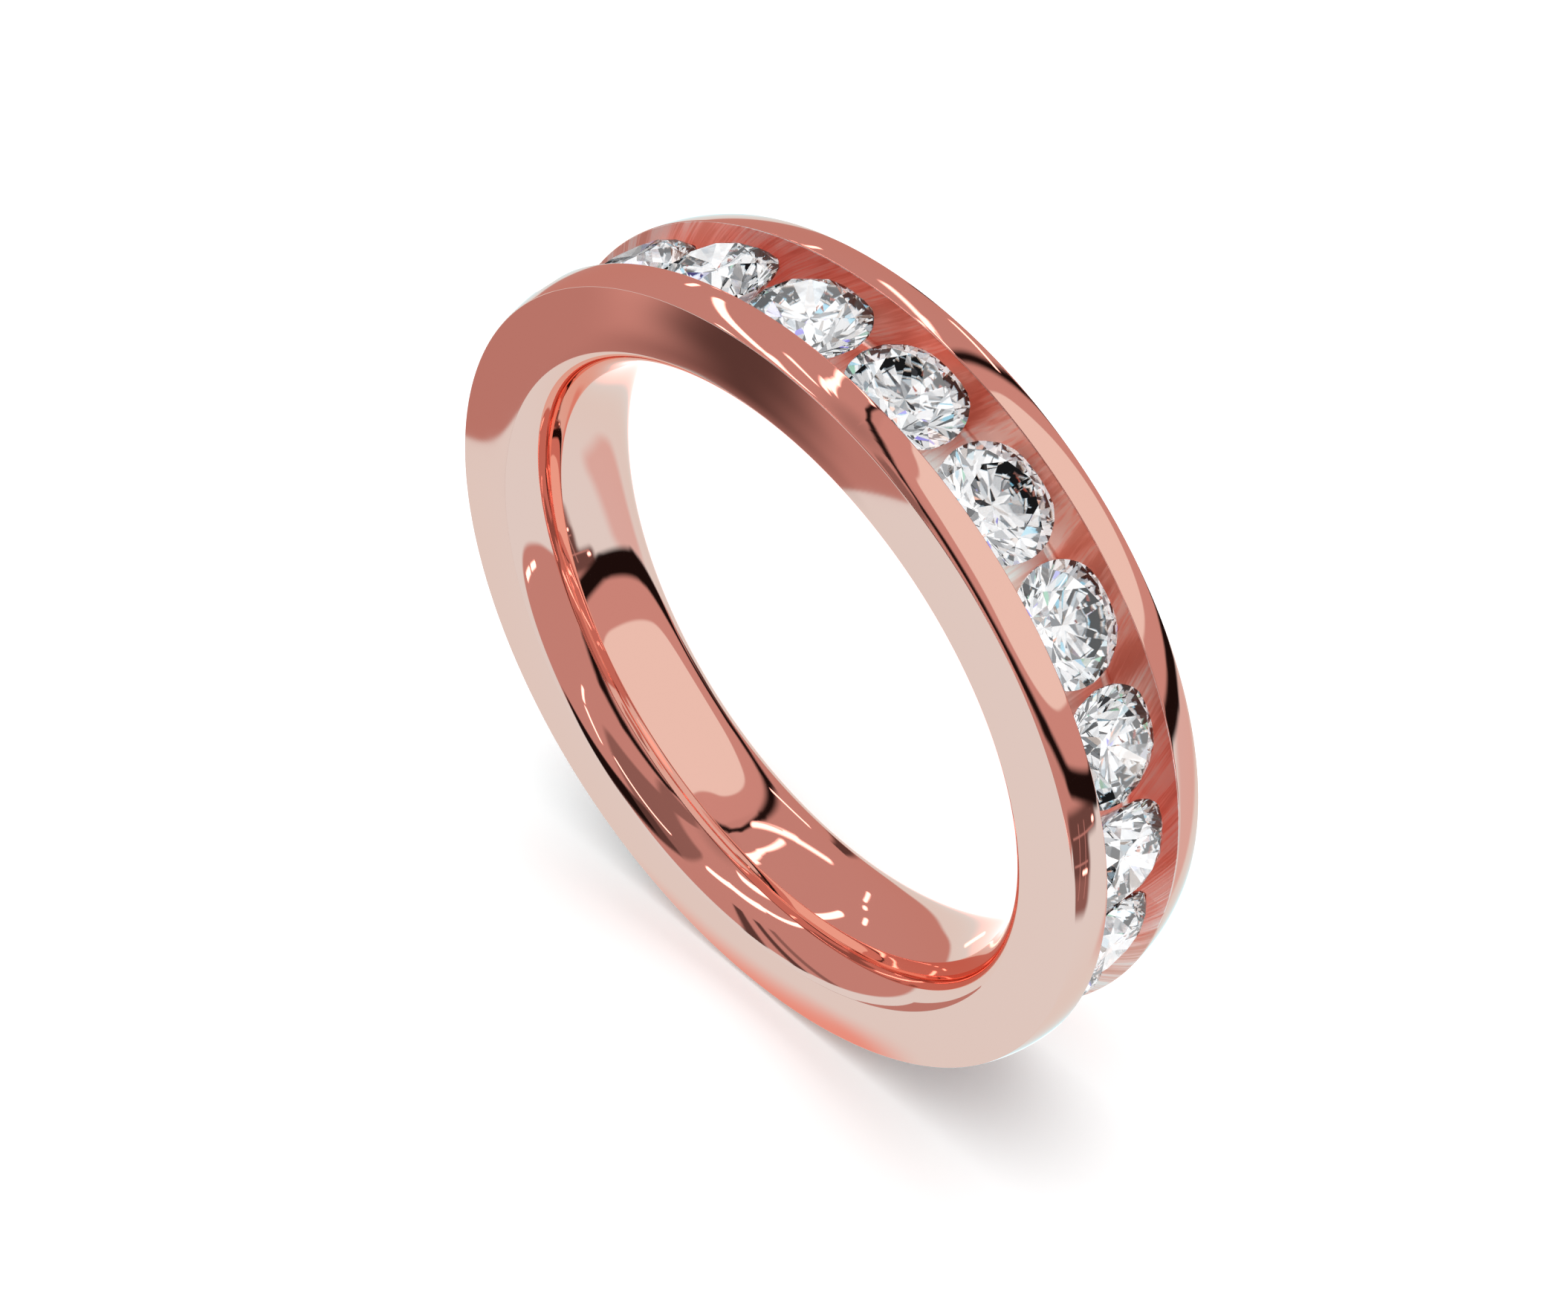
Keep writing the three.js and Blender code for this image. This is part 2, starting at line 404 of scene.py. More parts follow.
def brushed_gold_painted_streaks(b):
    """The same gold inside the channel, where no polishing wheel reaches: the setter's burr leaves
    it satin, with short slanting lines from lip to floor that bump its surface. Deep and pale pink
    painted reflection streaks are laid along these lines, and painted shade darkens the channel
    towards the ring's sides."""
    material, tree, output = new_material("brushed_rose_gold_painted_streaks")
    place = add_node(tree, "ShaderNodeTexCoord").outputs["Object"]
    parts = add_node(tree, "ShaderNodeSeparateXYZ", {"Vector": place}).outputs
    flat = add_node(
        tree, "ShaderNodeVectorMath", {0: place, 1: (1, 0, 1)}, operation="MULTIPLY"
    ).outputs["Vector"]
    radius = add_node(
        tree, "ShaderNodeVectorMath", {0: flat}, operation="LENGTH"
    ).outputs["Value"]
    turn = add_node(
        tree, "ShaderNodeMath", {0: parts["X"], 1: parts["Z"]}, operation="ARCTAN2"
    ).outputs[0]
    lean = add_node(
        tree,
        "ShaderNodeMapRange",
        {
            "Value": turn,
            "From Min": LEAN_START[0],
            "From Max": LEAN_END[0],
            "To Min": LEAN_START[1],
            "To Max": LEAN_END[1],
        },
    ).outputs["Result"]
    below_lip = add_node(
        tree, "ShaderNodeMath", {0: radius, 1: b.lip_radius}, operation="SUBTRACT"
    ).outputs[0]
    slant = add_node(
        tree, "ShaderNodeMath", {0: below_lip, 1: lean}, operation="MULTIPLY"
    ).outputs[0]
    along = add_node(
        tree, "ShaderNodeMath", {0: turn, 1: b.lip_radius, 2: slant}, operation="MULTIPLY_ADD"
    ).outputs[0]
    laid_flat = add_node(
        tree, "ShaderNodeCombineXYZ", {"X": along, "Y": radius, "Z": parts["Y"]}
    ).outputs["Vector"]
    lines = []
    for per_mm, change in BRUSH_LINES:
        scale = (per_mm / MM, per_mm * change / MM, BRUSH_ACROSS / MM)
        grain = add_node(
            tree, "ShaderNodeVectorMath", {0: laid_flat, 1: scale}, operation="MULTIPLY"
        ).outputs["Vector"]
        noise = add_node(
            tree, "ShaderNodeTexNoise", {"Vector": grain, "Scale": 1.0, "Detail": 3.0}
        )
        lines.append(noise.outputs["Fac"])
    both = add_node(
        tree, "ShaderNodeMix", {0: FINE_LINES_SHARE, 2: lines[0], 3: lines[1]}
    ).outputs[0]
    spread = add_node(
        tree, "ShaderNodeMapRange", {"Value": both, "From Min": 0.435, "From Max": 0.575}
    ).outputs["Result"]
    # Painted reflection streaks: the lines are coloured from the dark streak gold through satin
    # gold to the bright streak gold.
    ramp = add_node(tree, "ShaderNodeValToRGB", {"Fac": spread})
    ramp.color_ramp.elements.new(0.5)
    for element, tint in zip(ramp.color_ramp.elements, (b.painted_dark_streak_gold, b.satin_gold, b.painted_bright_streak_gold)):
        element.color = opaque(tint)
    # Painted shade: the streaked colour is multiplied by the side gold, fully from 60 degrees away
    # from the unshaded turn, fading out by 34 degrees.
    from_unshaded_turn = add_node(
        tree, "ShaderNodeMath", {0: turn, 1: NO_PAINTED_SHADE_TURN}, operation="SUBTRACT"
    ).outputs[0]
    away = add_node(tree, "ShaderNodeMath", {0: from_unshaded_turn}, operation="ABSOLUTE").outputs[0]
    side = add_node(
        tree,
        "ShaderNodeMapRange",
        {"Value": away, "From Min": math.radians(34), "From Max": math.radians(60)},
    ).outputs["Result"]
    streaks_with_painted_shade = add_node(
        tree,
        "ShaderNodeMix",
        {0: side, 6: ramp.outputs["Color"], 7: opaque(b.painted_side_shade_gold)},
        data_type="RGBA",
        blend_type="MULTIPLY",
    ).outputs[2]
    bump = add_node(
        tree,
        "ShaderNodeBump",
        {"Height": lines[1], "Strength": 0.25, "Distance": 0.02 * MM},
    )
    shader = add_node(
        tree,
        "ShaderNodeBsdfPrincipled",
        {
            "Base Color": streaks_with_painted_shade,
            "Metallic": 1.0,
            "Roughness": b.satin_roughness,
            # The specular tint reuses the painted dark streak colour.
            "Specular Tint": opaque(b.painted_dark_streak_gold),
            "Normal": bump.outputs["Normal"],
        },
    )
    tree.links.new(shader.outputs["BSDF"], output.inputs["Surface"])
    return material


def brush_channel(data, b):
    """Gives the channel's walls, floor and seats the second material."""
    edge = b.channel_width / 2 + b.edge_radius / 4
    bottom = b.floor_radius - BRUSH_BELOW_FLOOR
    for face in data.polygons:
        x, y, z = face.center
        face.material_index = int(abs(y) < edge and math.hypot(x, z) > bottom)


class MakeBand(bpy.types.Operator):
    """Turn the gold ring's section round the finger and cut the diamonds' seats in it"""

    bl_idname = "wedding_band.make_band"
    bl_label = "Make Gold Band"

    def execute(self, context):
        b = context.scene.wedding_band
        d = context.scene.wedding_band_diamonds
        gold = rose_gold(b)
        band = new_object("gold_band", lathe(band_section(b), BAND_STEPS, "Y"))
        band.data.materials.append(gold)
        band.data.materials.append(brushed_gold_painted_streaks(b))
        seats = new_object("seat_cutters", lathe(seat_section(b, d), SEAT_STEPS, "Z"))
        set_round(seats, d, gold)
        cut = band.modifiers.new("Seats", "BOOLEAN")
        cut.operation = "DIFFERENCE"
        cut.solver = "EXACT"
        cut.object = seats
        baked(band)
        bpy.data.objects.remove(seats)
        brush_channel(band.data, b)
        band.visible_transmission = False
        smooth(band.data, SHARP_ANGLE)
        even = band.modifiers.new("Even normals", "WEIGHTED_NORMAL")
        even.keep_sharp = True
        baked(band)
        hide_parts("band")
        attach(band, "root")
        return {"FINISHED"}


# ---- the diamonds -------------------------------------------------------------------------

GIRDLE_STEPS = 64


def brilliant(d):
    """A round brilliant of radius 1, its table towards +Z and its girdle centred on the origin.
    It is cut as a real one is: a short rod loses a slice for each of its 57 facets."""
    eighth = math.pi / 4
    sixteenth = math.pi / 8
    half_girdle = d.girdle
    table_height = half_girdle + (1 - d.table) * math.tan(d.crown_angle)
    table_edge = d.table * math.cos(sixteenth)
    star = table_edge + d.star * (1 - table_edge)
    star_height = half_girdle + (1 - star * math.cos(sixteenth)) * math.tan(d.crown_angle)
    lower = 1 - d.lower
    lower_height = -half_girdle - (1 - lower * math.cos(sixteenth)) * math.tan(d.pavilion_angle)
    culet = Vector((0, 0, -half_girdle - math.tan(d.pavilion_angle)))

    def at(radius, turn, height):
        return Vector((radius * math.cos(turn), radius * math.sin(turn), height))

    stone = bmesh.new()
    bmesh.ops.create_cone(
        stone, cap_ends=True, segments=GIRDLE_STEPS, radius1=1, radius2=1, depth=4
    )

    def cut(a, b, c):
        """Slices off what is outside the plane through three points, and closes the cut."""
        normal = (b - a).cross(c - a).normalized()
        if normal.dot(a) < 0:
            normal.negate()
        parts = [*stone.verts, *stone.edges, *stone.faces]
        result = bmesh.ops.bisect_plane(
            stone, geom=parts, dist=1e-6, plane_co=a, plane_no=normal, clear_outer=True
        )
        edges = [e for e in result["geom_cut"] if isinstance(e, bmesh.types.BMEdge)]
        bmesh.ops.contextual_create(stone, geom=edges)

    cut(*(at(1, k * math.pi / 2, table_height) for k in range(3)))
    for k in range(8):
        main = k * eighth
        before = main - sixteenth
        after = main + sixteenth
        table_corner = at(d.table, main, table_height)
        next_corner = at(d.table, main + eighth, table_height)
        star_tip = at(star, after, star_height)
        cut(table_corner, at(star, before, star_height), star_tip)
        cut(table_corner, next_corner, star_tip)
        cut(culet, at(lower, before, lower_height), at(lower, after, lower_height))
        for near, far in ((main, after), (main + eighth, after)):
            cut(at(1, near, half_girdle), at(1, far, half_girdle), star_tip)
            cut(at(1, near, -half_girdle), at(1, far, -half_girdle), at(lower, after, lower_height))
    bmesh.ops.remove_doubles(stone, verts=stone.verts, dist=1e-4)
    bmesh.ops.dissolve_degenerate(stone, edges=stone.edges, dist=1e-4)
    bmesh.ops.recalc_face_normals(stone, faces=stone.faces)
    return stone


def circle_tree():
    """Geometry nodes that set copies of a mesh round the finger, each turned to face outwards."""
    tree = bpy.data.node_groups.new("Set round the band", "GeometryNodeTree")
    tree.interface.new_socket("Geometry", in_out="OUTPUT", socket_type="NodeSocketGeometry")
    for name, kind in (
        ("Geometry", "NodeSocketGeometry"),
        ("Count", "NodeSocketInt"),
        ("Radius", "NodeSocketFloat"),
        ("Material", "NodeSocketMaterial"),
    ):
        tree.interface.new_socket(name, in_out="INPUT", socket_type=kind)
    given = add_node(tree, "NodeGroupInput").outputs
    index = add_node(tree, "GeometryNodeInputIndex").outputs["Index"]
    pitch = add_node(tree, "ShaderNodeMath", {0: math.tau, 1: given["Count"]}, operation="DIVIDE")
    turn = add_node(
        tree, "ShaderNodeMath", {0: index, 1: pitch.outputs[0]}, operation="MULTIPLY"
    )
    facing = add_node(
        tree, "FunctionNodeAxisAngleToRotation", {"Axis": (0, 1, 0), "Angle": turn.outputs[0]}
    ).outputs["Rotation"]
    top = add_node(tree, "ShaderNodeCombineXYZ", {"Z": given["Radius"]}).outputs["Vector"]
    place = add_node(tree, "FunctionNodeRotateVector", {"Vector": top, "Rotation": facing})
    points = add_node(
        tree, "GeometryNodePoints", {"Count": given["Count"], "Position": place.outputs["Vector"]}
    )
    copies = add_node(
        tree,
        "GeometryNodeInstanceOnPoints",
        {
            "Points": points.outputs["Points"],
            "Instance": given["Geometry"],
            "Rotation": facing,
        },
    )
    real = add_node(
        tree, "GeometryNodeRealizeInstances", {"Geometry": copies.outputs["Instances"]}
    )
    finished = add_node(
        tree,
        "GeometryNodeSetMaterial",
        {"Geometry": real.outputs["Geometry"], "Material": given["Material"]},
    )
    add_node(tree, "NodeGroupOutput", {"Geometry": finished.outputs["Geometry"]})
    return tree


def set_round(made, d, material):
    """Replaces an object's mesh by copies of it at every diamond's place."""
    tree = bpy.data.node_groups.get("Set round the band") or circle_tree()
    modifier = made.modifiers.new("Set round the band", "NODES")
    modifier.node_group = tree
    values = {"Count": d.count, "Radius": d.girdle_radius, "Material": material}
    for socket in tree.interface.items_tree:
        if socket.in_out == "INPUT" and socket.name in values:
            modifier[socket.identifier] = values[socket.name]
    return baked(made)


def diamond(d):
    """Colourless diamond with polished facets: clear, very bright and crisp, with small flashes
    of colour, because a part of the light that enters is spread by its colour. The gold
    beside the stones mirrors what is past them, so it stays clean."""
    material, tree, output = new_material("diamond")
    clear = add_node(
        tree,
        "ShaderNodeBsdfPrincipled",
        {"Base Color": (1, 1, 1, 1), "Roughness": 0.0, "Transmission Weight": 1.0},
    )
    clear.inputs["IOR"].default_value = d.index
    warm = add_node(
        tree,
        "ShaderNodeBsdfGlass",
        {"Color": opaque(d.warm), "Roughness": 0.0, "IOR": d.index - d.fire / 2},
    )
    cool = add_node(
        tree,
        "ShaderNodeBsdfGlass",
        {"Color": opaque(d.cool), "Roughness": 0.0, "IOR": d.index + d.fire / 2},
    )
    spread = add_node(
        tree,
        "ShaderNodeMixShader",
        {"Fac": 0.5, 1: warm.outputs["BSDF"], 2: cool.outputs["BSDF"]},
    )
    entering = add_node(
        tree,
        "ShaderNodeMixShader",
        {"Fac": d.fire_share, 1: clear.outputs["BSDF"], 2: spread.outputs["Shader"]},
    )
    inside = add_node(tree, "ShaderNodeNewGeometry").outputs["Backfacing"]
    stone = add_node(
        tree,
        "ShaderNodeMixShader",
        {"Fac": inside, 1: entering.outputs["Shader"], 2: clear.outputs["BSDF"]},
    )
    rays = add_node(tree, "ShaderNodeLightPath").outputs
    from_gold = add_node(
        tree,
        "ShaderNodeMath",
        {0: rays["Is Glossy Ray"], 1: rays["Is Singular Ray"]},
        operation="SUBTRACT",
        use_clamp=True,
    )
    through = add_node(tree, "ShaderNodeBsdfTransparent")
    seen = add_node(
        tree,
        "ShaderNodeMixShader",
        {"Fac": from_gold.outputs[0], 1: stone.outputs["Shader"], 2: through.outputs["BSDF"]},
    )
    tree.links.new(seen.outputs["Shader"], output.inputs["Surface"])
    return material


class MakeDiamonds(bpy.types.Operator):
    """Cut one round brilliant and set copies of it all round the channel"""

    bl_idname = "wedding_band.make_diamonds"
    bl_label = "Make Diamonds"

    def execute(self, context):
        d = context.scene.wedding_band_diamonds
        stone = brilliant(d)
        bmesh.ops.scale(stone, vec=[d.diameter / 2] * 3, verts=stone.verts)
        diamonds = new_object("diamonds", stone)
        set_round(diamonds, d, diamond(d))
        diamonds.data.shade_flat()
        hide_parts(*STONE_NODES)
        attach(diamonds, "root")
        return {"FINISHED"}


# ---- the stage ----------------------------------------------------------------------------


FLOOR_HALF = 1.0

# What stands in the studio, on a chart of bearings from the ring (azimuth, elevation) in degrees.
# The near side of the ring faces azimuth 0, and +X is at 90.
TONES = {
    "table": ("B1F2FF", 1.68),
    "glow": ("E4FAFF", 1.68),
    "pale wall": ("D4F7FF", 1.06),
    "rosy table": ("DFD5D0", 1.1),
    "softbox": ("CFFCFF", 1.33),
    "lamp": ("FFFFFF", 3.2),
    "dim lamp": ("FFFFFF", 1.1),
    "light wall": ("CAC9C9", 1.0),
    "wall": ("C2C0C0", 1.0),
    "ceiling": ("A7A6A6", 1.0),
    "shaded wall": ("8C8A8A", 1.0),
    "brown": ("B9B5B5", 1.0),
    "deep brown": ("6A6868", 1.0),
    "dark": ("5A5858", 1.0),
    "black": ("1C1A1A", 1.0),
}
# The table's far edge, as (azimuth, elevation), and how soft it is.
TABLE_SOFTNESS = 3.0
TABLE_EDGE = (
    (-180, -17),
    (-165, -11),
    (-150, -14),
    (-140, -9),
    (-127, -10),
    (-114, -19),
    (-104, -17),
    (-95, -8),
    (-85, -7),
    (-55, 0),
    (-35, 5),
    (-15, 4),
    (10, -10),
    (28, -27),
    (70, -30),
    (100, -19),
    (180, -18),
)
# Boards: tone, middle, half size, roll, corner radius, softness of the edge.
BOARDS = (
    ("ceiling", (0, 90), (180, 8), 0, 0, 14),
    ("shaded wall", (25, 49), (30, 19), 0, 6, 5),
    ("shaded wall", (60, 70), (15, 10), 0, 6, 5),
    ("dark", (6, 16), (10, 22), 0, 4, 4),
    ("black", (7, 8), (8, 16), 0, 4, 4),
    ("shaded wall", (-49, 22), (2, 20), 0, 0, 2),
    ("dark", (-40, 22), (2, 20), 0, 0, 2),
    ("dark", (-30, 22), (2.5, 20), 0, 0, 2),
    ("dark", (-153, -2), (2, 10), 0, 0, 2),
    ("dark", (-176, -6), (4, 10), 0, 0, 2),
    ("light wall", (133, 34), (51, 45), 0, 30, 4),
    ("brown", (-58.9, -26.7), (12, 12), -5.7, 0, 0.2),
    ("brown", (-48.4, -29), (6.5, 12), 29.4, 0, 0.2),
    ("glow", (-133, -44), (20, 14), 0, 12, 10),
    ("pale wall", (150, -36), (15, 19), 0, 8, 9),
    ("rosy table", (-53, -56), (8, 3), 0, 2, 5),
    ("shaded wall", (98, -34), (9, 9), 0, 4, 5),
    ("deep brown", (98, -24), (9, 8), 0, 2, 4),
    ("deep brown", (103, -18), (14, 4), 0, 2, 4),
    ("softbox", (132, 36), (42, 31), -10, 25, 1.5),
)
# Strips: tone, one end, other end, width, softness of the edge.
STRIPS = (
    ("black", (78, 64), (79, 40), 6, 4),
    ("black", (79, 40), (82, 25), 6, 4),
    ("black", (82, 25), (89, 8), 6, 4),
    ("black", (89, 8), (98, -7), 6, 4),
    ("black", (98, -7), (120, -14), 8, 3),
    ("black", (120, -14), (150, -15), 9, 3),
    ("black", (150, -15), (171, -13), 9, 3),
    ("black", (171, -13), (184, 0), 6, 3),
    ("black", (184, 0), (187, 15), 5, 4),
    ("black", (187, 15), (188, 50), 5, 4),
    ("black", (188, 50), (187, 70), 4, 3),
    ("black", (78, 64), (83, 73), 4, 3),
    ("black", (83, 73), (96, 79), 4, 3),
    ("black", (96, 79), (125, 81.5), 4, 3),
    ("black", (125, 81.5), (160, 80.5), 4, 3),
    ("black", (160, 80.5), (180, 77), 4, 3),
    ("black", (180, 77), (187, 70), 4, 3),
    ("lamp", (-115.5, 35), (-103, 46), 3.5, 1),
    ("lamp", (-103, 46), (-89, 60), 3.5, 1),
    ("lamp", (-88, 63), (-62, 74), 5, 2),
    ("lamp", (-87, 47), (-61, 58), 2.6, 1),
    ("lamp", (-59.5, 58), (-33, 62), 4.5, 1.5),
    ("lamp", (-33, 62), (-13, 59), 4.5, 1.5),
    ("lamp", (-156, 51), (-148, 67), 3.5, 2.5),
    ("lamp", (-147, 67), (-134, 76), 4, 2.5),
    ("lamp", (-130, 72), (-117, 77), 3.5, 2.5),
    ("lamp", (-110, 65), (-107, 74), 3.5, 2.5),
    ("lamp", (-141, 70), (-128, 75), 3.5, 2.5),
    ("lamp", (-171, 60), (-157, 40), 4, 2.5),
    ("dim lamp", (-171, 56), (-162, 45), 1, 1),
    ("lamp", (-156, 40), (-147.5, 29), 3, 2.5),
    ("lamp", (-172, 22.5), (-160.5, 17), 1.6, 1),
    ("lamp", (-134, 19), (-129, 22.5), 1.6, 1),
    ("lamp", (-125, 23.5), (-124.5, 23.5), 2, 1),
    ("lamp", (-118, 23.5), (-115.5, 24), 2, 1),
    ("lamp", (10, 47.5), (34, 31.5), 2, 1),
    ("lamp", (32, 22), (43, 18), 2, 1),
    ("lamp", (47, 17.5), (57, 17.5), 1.6, 1),
    ("lamp", (36, -24), (47, -24), 2.4, 1),
    ("lamp", (52, -24), (60, -24), 2.4, 1),
    ("lamp", (-120, -26), (-127, -33), 1.5, 1),
    ("brown", (92, -21), (114, -21), 0.6, 0.6),
    ("brown", (92, -28.5), (105, -28.5), 0.6, 0.6),
    ("brown", (98, -18), (96, -38), 0.6, 0.6),
    ("brown", (104, -18), (102, -38), 0.6, 0.6),
    ("lamp", (100, -31), (104, -31), 1.2, 1),
    ("lamp", (113, -19.5), (114, -19.5), 1.4, 1),
    ("light wall", (-49, -36), (-48.5, -20), 2.5, 3),
    ("dark", (-48, -39), (-43.5, -32), 1.5, 4),
    ("dark", (-45.5, -35), (-40, -27), 3, 5),
)

# What the diamonds gather, from dark to bright, with a few small coloured flashes between.
SPARKLE_SCALE = 7.0
SPARKLE_TINTS = (
    (0.0, "3A3A3C"),
    (0.08, "86888B"),
    (0.18, "BABCBE"),
    (0.33, "96CDB2"),
    (0.343, "E2E3E4"),
    (0.5, "9C92EE"),
    (0.51, "EDEDEE"),
    (0.66, "FFC9B4"),
    (0.672, "FFFFFF"),
    (0.9, "94D0E6"),
    (0.912, "FFFFFF"),
)


def make_floor(s):
    """Plain white paper under the ring: matt, and lit enough to lose all but its shadows. The
    polished gold and the diamonds see the studio's table in its place."""
    material, tree, output = new_material("white_paper")
    shader = add_node(tree, "ShaderNodeBsdfDiffuse", {"Color": opaque(s.floor)})
    tree.links.new(shader.outputs["BSDF"], output.inputs["Surface"])
    mesh = bmesh.new()
    bmesh.ops.create_grid(mesh, x_segments=1, y_segments=1, size=FLOOR_HALF)
    bmesh.ops.translate(mesh, vec=(0, 0, BAND_LOW.z), verts=mesh.verts)
    floor = new_object("floor", mesh)
    floor.data.materials.append(material)
    floor.visible_glossy = False
    floor.visible_transmission = False


def board_tree():
    """Shader nodes that lay one soft-edged board over what is already on the bearing chart."""
    tree = bpy.data.node_groups.new("Studio board", "ShaderNodeTree")
    for name, kind in (
        ("Under", "NodeSocketColor"),
        ("Bearing", "NodeSocketVector"),
        ("Middle", "NodeSocketVector"),
        ("Half size", "NodeSocketVector"),
        ("Roll", "NodeSocketFloat"),
        ("Corner", "NodeSocketFloat"),
        ("Softness", "NodeSocketFloat"),
        ("Light", "NodeSocketColor"),
    ):
        tree.interface.new_socket(name, in_out="INPUT", socket_type=kind)
    tree.interface.new_socket("Light", in_out="OUTPUT", socket_type="NodeSocketColor")
    given = add_node(tree, "NodeGroupInput").outputs

    away = add_node(
        tree,
        "ShaderNodeVectorMath",
        {0: given["Bearing"], 1: given["Middle"]},
        operation="SUBTRACT",
    ).outputs["Vector"]
    nearest = add_node(
        tree,
        "ShaderNodeVectorMath",
        {0: away, 1: (180, 180, 180), 2: (-180, -180, -180)},
        operation="WRAP",
    ).outputs["Vector"]
    turned = add_node(
        tree,
        "ShaderNodeVectorRotate",
        {"Vector": nearest, "Angle": given["Roll"]},
        rotation_type="Z_AXIS",
    ).outputs["Vector"]
    folded = add_node(
        tree, "ShaderNodeVectorMath", {0: turned}, operation="ABSOLUTE"
    ).outputs["Vector"]
    past = add_node(
        tree,
        "ShaderNodeVectorMath",
        {0: folded, 1: given["Half size"]},
        operation="SUBTRACT",
    ).outputs["Vector"]
    outside = add_node(
        tree, "ShaderNodeVectorMath", {0: past, 1: (0, 0, 0)}, operation="MAXIMUM"
    ).outputs["Vector"]
    gap = add_node(
        tree, "ShaderNodeVectorMath", {0: outside}, operation="LENGTH"
    ).outputs["Value"]
    past_corner = add_node(
        tree, "ShaderNodeMath", {0: gap, 1: given["Corner"]}, operation="SUBTRACT"
    ).outputs[0]
    cover = add_node(
        tree,
        "ShaderNodeMapRange",
        {
            "Value": past_corner,
            "From Min": given["Softness"],
            "From Max": 0.0,
            "To Min": 0.0,
            "To Max": 1.0,
        },
        interpolation_type="SMOOTHSTEP",
    ).outputs["Result"]
    laid = add_node(
        tree,
        "ShaderNodeMix",
        {0: cover, 6: given["Under"], 7: given["Light"]},
        data_type="RGBA",
    )
    add_node(tree, "NodeGroupOutput", {"Light": laid.outputs[2]})
    return tree


def tone(name):
    """A studio tone's linear colour times its strength."""
    hex_colour, level = TONES[name]
    return opaque([channel * level for channel in linear(hex_colour)])


def laid_boards():
    """Every board, then every strip, as (tone, middle, half size inside its round corners, roll,
    corner radius, softness)."""
    laid = []
    for name, middle, half, roll, radius, softness in BOARDS:
        corner = max(radius, softness / 2)
        inner = [max(side - corner, 0) for side in half]
        laid.append((name, middle, inner, roll, corner, softness))
    for name, start, end, width, softness in STRIPS:
        run = Vector(end) - Vector(start)
        middle = Vector(start) + run / 2
        roll = math.degrees(math.atan2(run.y, run.x))
        corner = max(width, softness) / 2
        laid.append((name, middle, (run.length / 2, 0), roll, corner, softness))
    return laid


def studio(tree):
    """The light that polished metal sees, by its direction: a pale table, grey walls, a large
    softbox in a dark window frame, ceiling lamps and a few dark things."""
    way = add_node(tree, "ShaderNodeTexCoord").outputs["Generated"]
    parts = add_node(tree, "ShaderNodeSeparateXYZ", {"Vector": way}).outputs
    near = add_node(
        tree, "ShaderNodeMath", {0: parts["Y"], 1: -1.0}, operation="MULTIPLY"
    ).outputs[0]
    turn = add_node(
        tree, "ShaderNodeMath", {0: parts["X"], 1: near}, operation="ARCTAN2"
    ).outputs[0]
    rise = add_node(tree, "ShaderNodeMath", {0: parts["Z"]}, operation="ARCSINE").outputs[0]
    azimuth = add_node(tree, "ShaderNodeMath", {0: turn}, operation="DEGREES").outputs[0]
    elevation = add_node(tree, "ShaderNodeMath", {0: rise}, operation="DEGREES").outputs[0]
    bearing = add_node(
        tree, "ShaderNodeCombineXYZ", {"X": azimuth, "Y": elevation}
    ).outputs["Vector"]
    around = add_node(
        tree, "ShaderNodeMapRange", {"Value": azimuth, "From Min": -180.0, "From Max": 180.0}
    ).outputs["Result"]
    edge = add_node(tree, "ShaderNodeFloatCurve", {"Value": around})
    curve = edge.mapping.curves[0]
    while len(curve.points) < len(TABLE_EDGE):
        curve.points.new(0.5, 0.5)
    for point, (place, height) in zip(curve.points, TABLE_EDGE):
        point.location = ((place + 180) / 360, (height + 90) / 180)
    edge.mapping.update()
    horizon = add_node(
        tree,
        "ShaderNodeMapRange",
        {"Value": edge.outputs["Value"], "To Min": -90.0, "To Max": 90.0},
    ).outputs["Result"]
    over_table = add_node(
        tree, "ShaderNodeMath", {0: elevation, 1: horizon}, operation="SUBTRACT"
    ).outputs[0]
    below = add_node(
        tree,
        "ShaderNodeMapRange",
        {"Value": over_table, "From Min": TABLE_SOFTNESS / 2, "From Max": -TABLE_SOFTNESS / 2},
        interpolation_type="SMOOTHSTEP",
    ).outputs["Result"]
    light = add_node(
        tree,
        "ShaderNodeMix",
        {0: below, 6: tone("wall"), 7: tone("table")},
        data_type="RGBA",
    ).outputs[2]
    group = board_tree()
    for name, middle, inner, roll, corner, softness in laid_boards():
        light = add_node(
            tree,
            "ShaderNodeGroup",
            {
                "Under": light,
                "Bearing": bearing,
                "Middle": (*middle, 0),
                "Half size": (*inner, 0),
                "Roll": -math.radians(roll),
                "Corner": corner - softness / 2,
                "Softness": softness,
                "Light": tone(name),
            },
            node_tree=group,
        ).outputs["Light"]
    return light


def sparkle(tree):
    """The light that the diamonds gather: many small bright windows among dark ones, which is
    what makes cut stones lively."""
    way = add_node(tree, "ShaderNodeTexCoord").outputs["Generated"]
    cells = add_node(
        tree, "ShaderNodeTexVoronoi", {"Vector": way, "Scale": SPARKLE_SCALE}, feature="F1"
    ).outputs["Color"]
    choice = add_node(tree, "ShaderNodeSeparateColor", {"Color": cells}).outputs["Red"]
    ramp = add_node(tree, "ShaderNodeValToRGB", {"Fac": choice})
    ramp.color_ramp.interpolation = "CONSTANT"
    for place, _tint in SPARKLE_TINTS[2:]:
        ramp.color_ramp.elements.new(place)
    for element, (place, tint) in zip(ramp.color_ramp.elements, SPARKLE_TINTS):
        element.position = place
        element.color = opaque(linear(tint))
    return ramp.outputs["Color"]


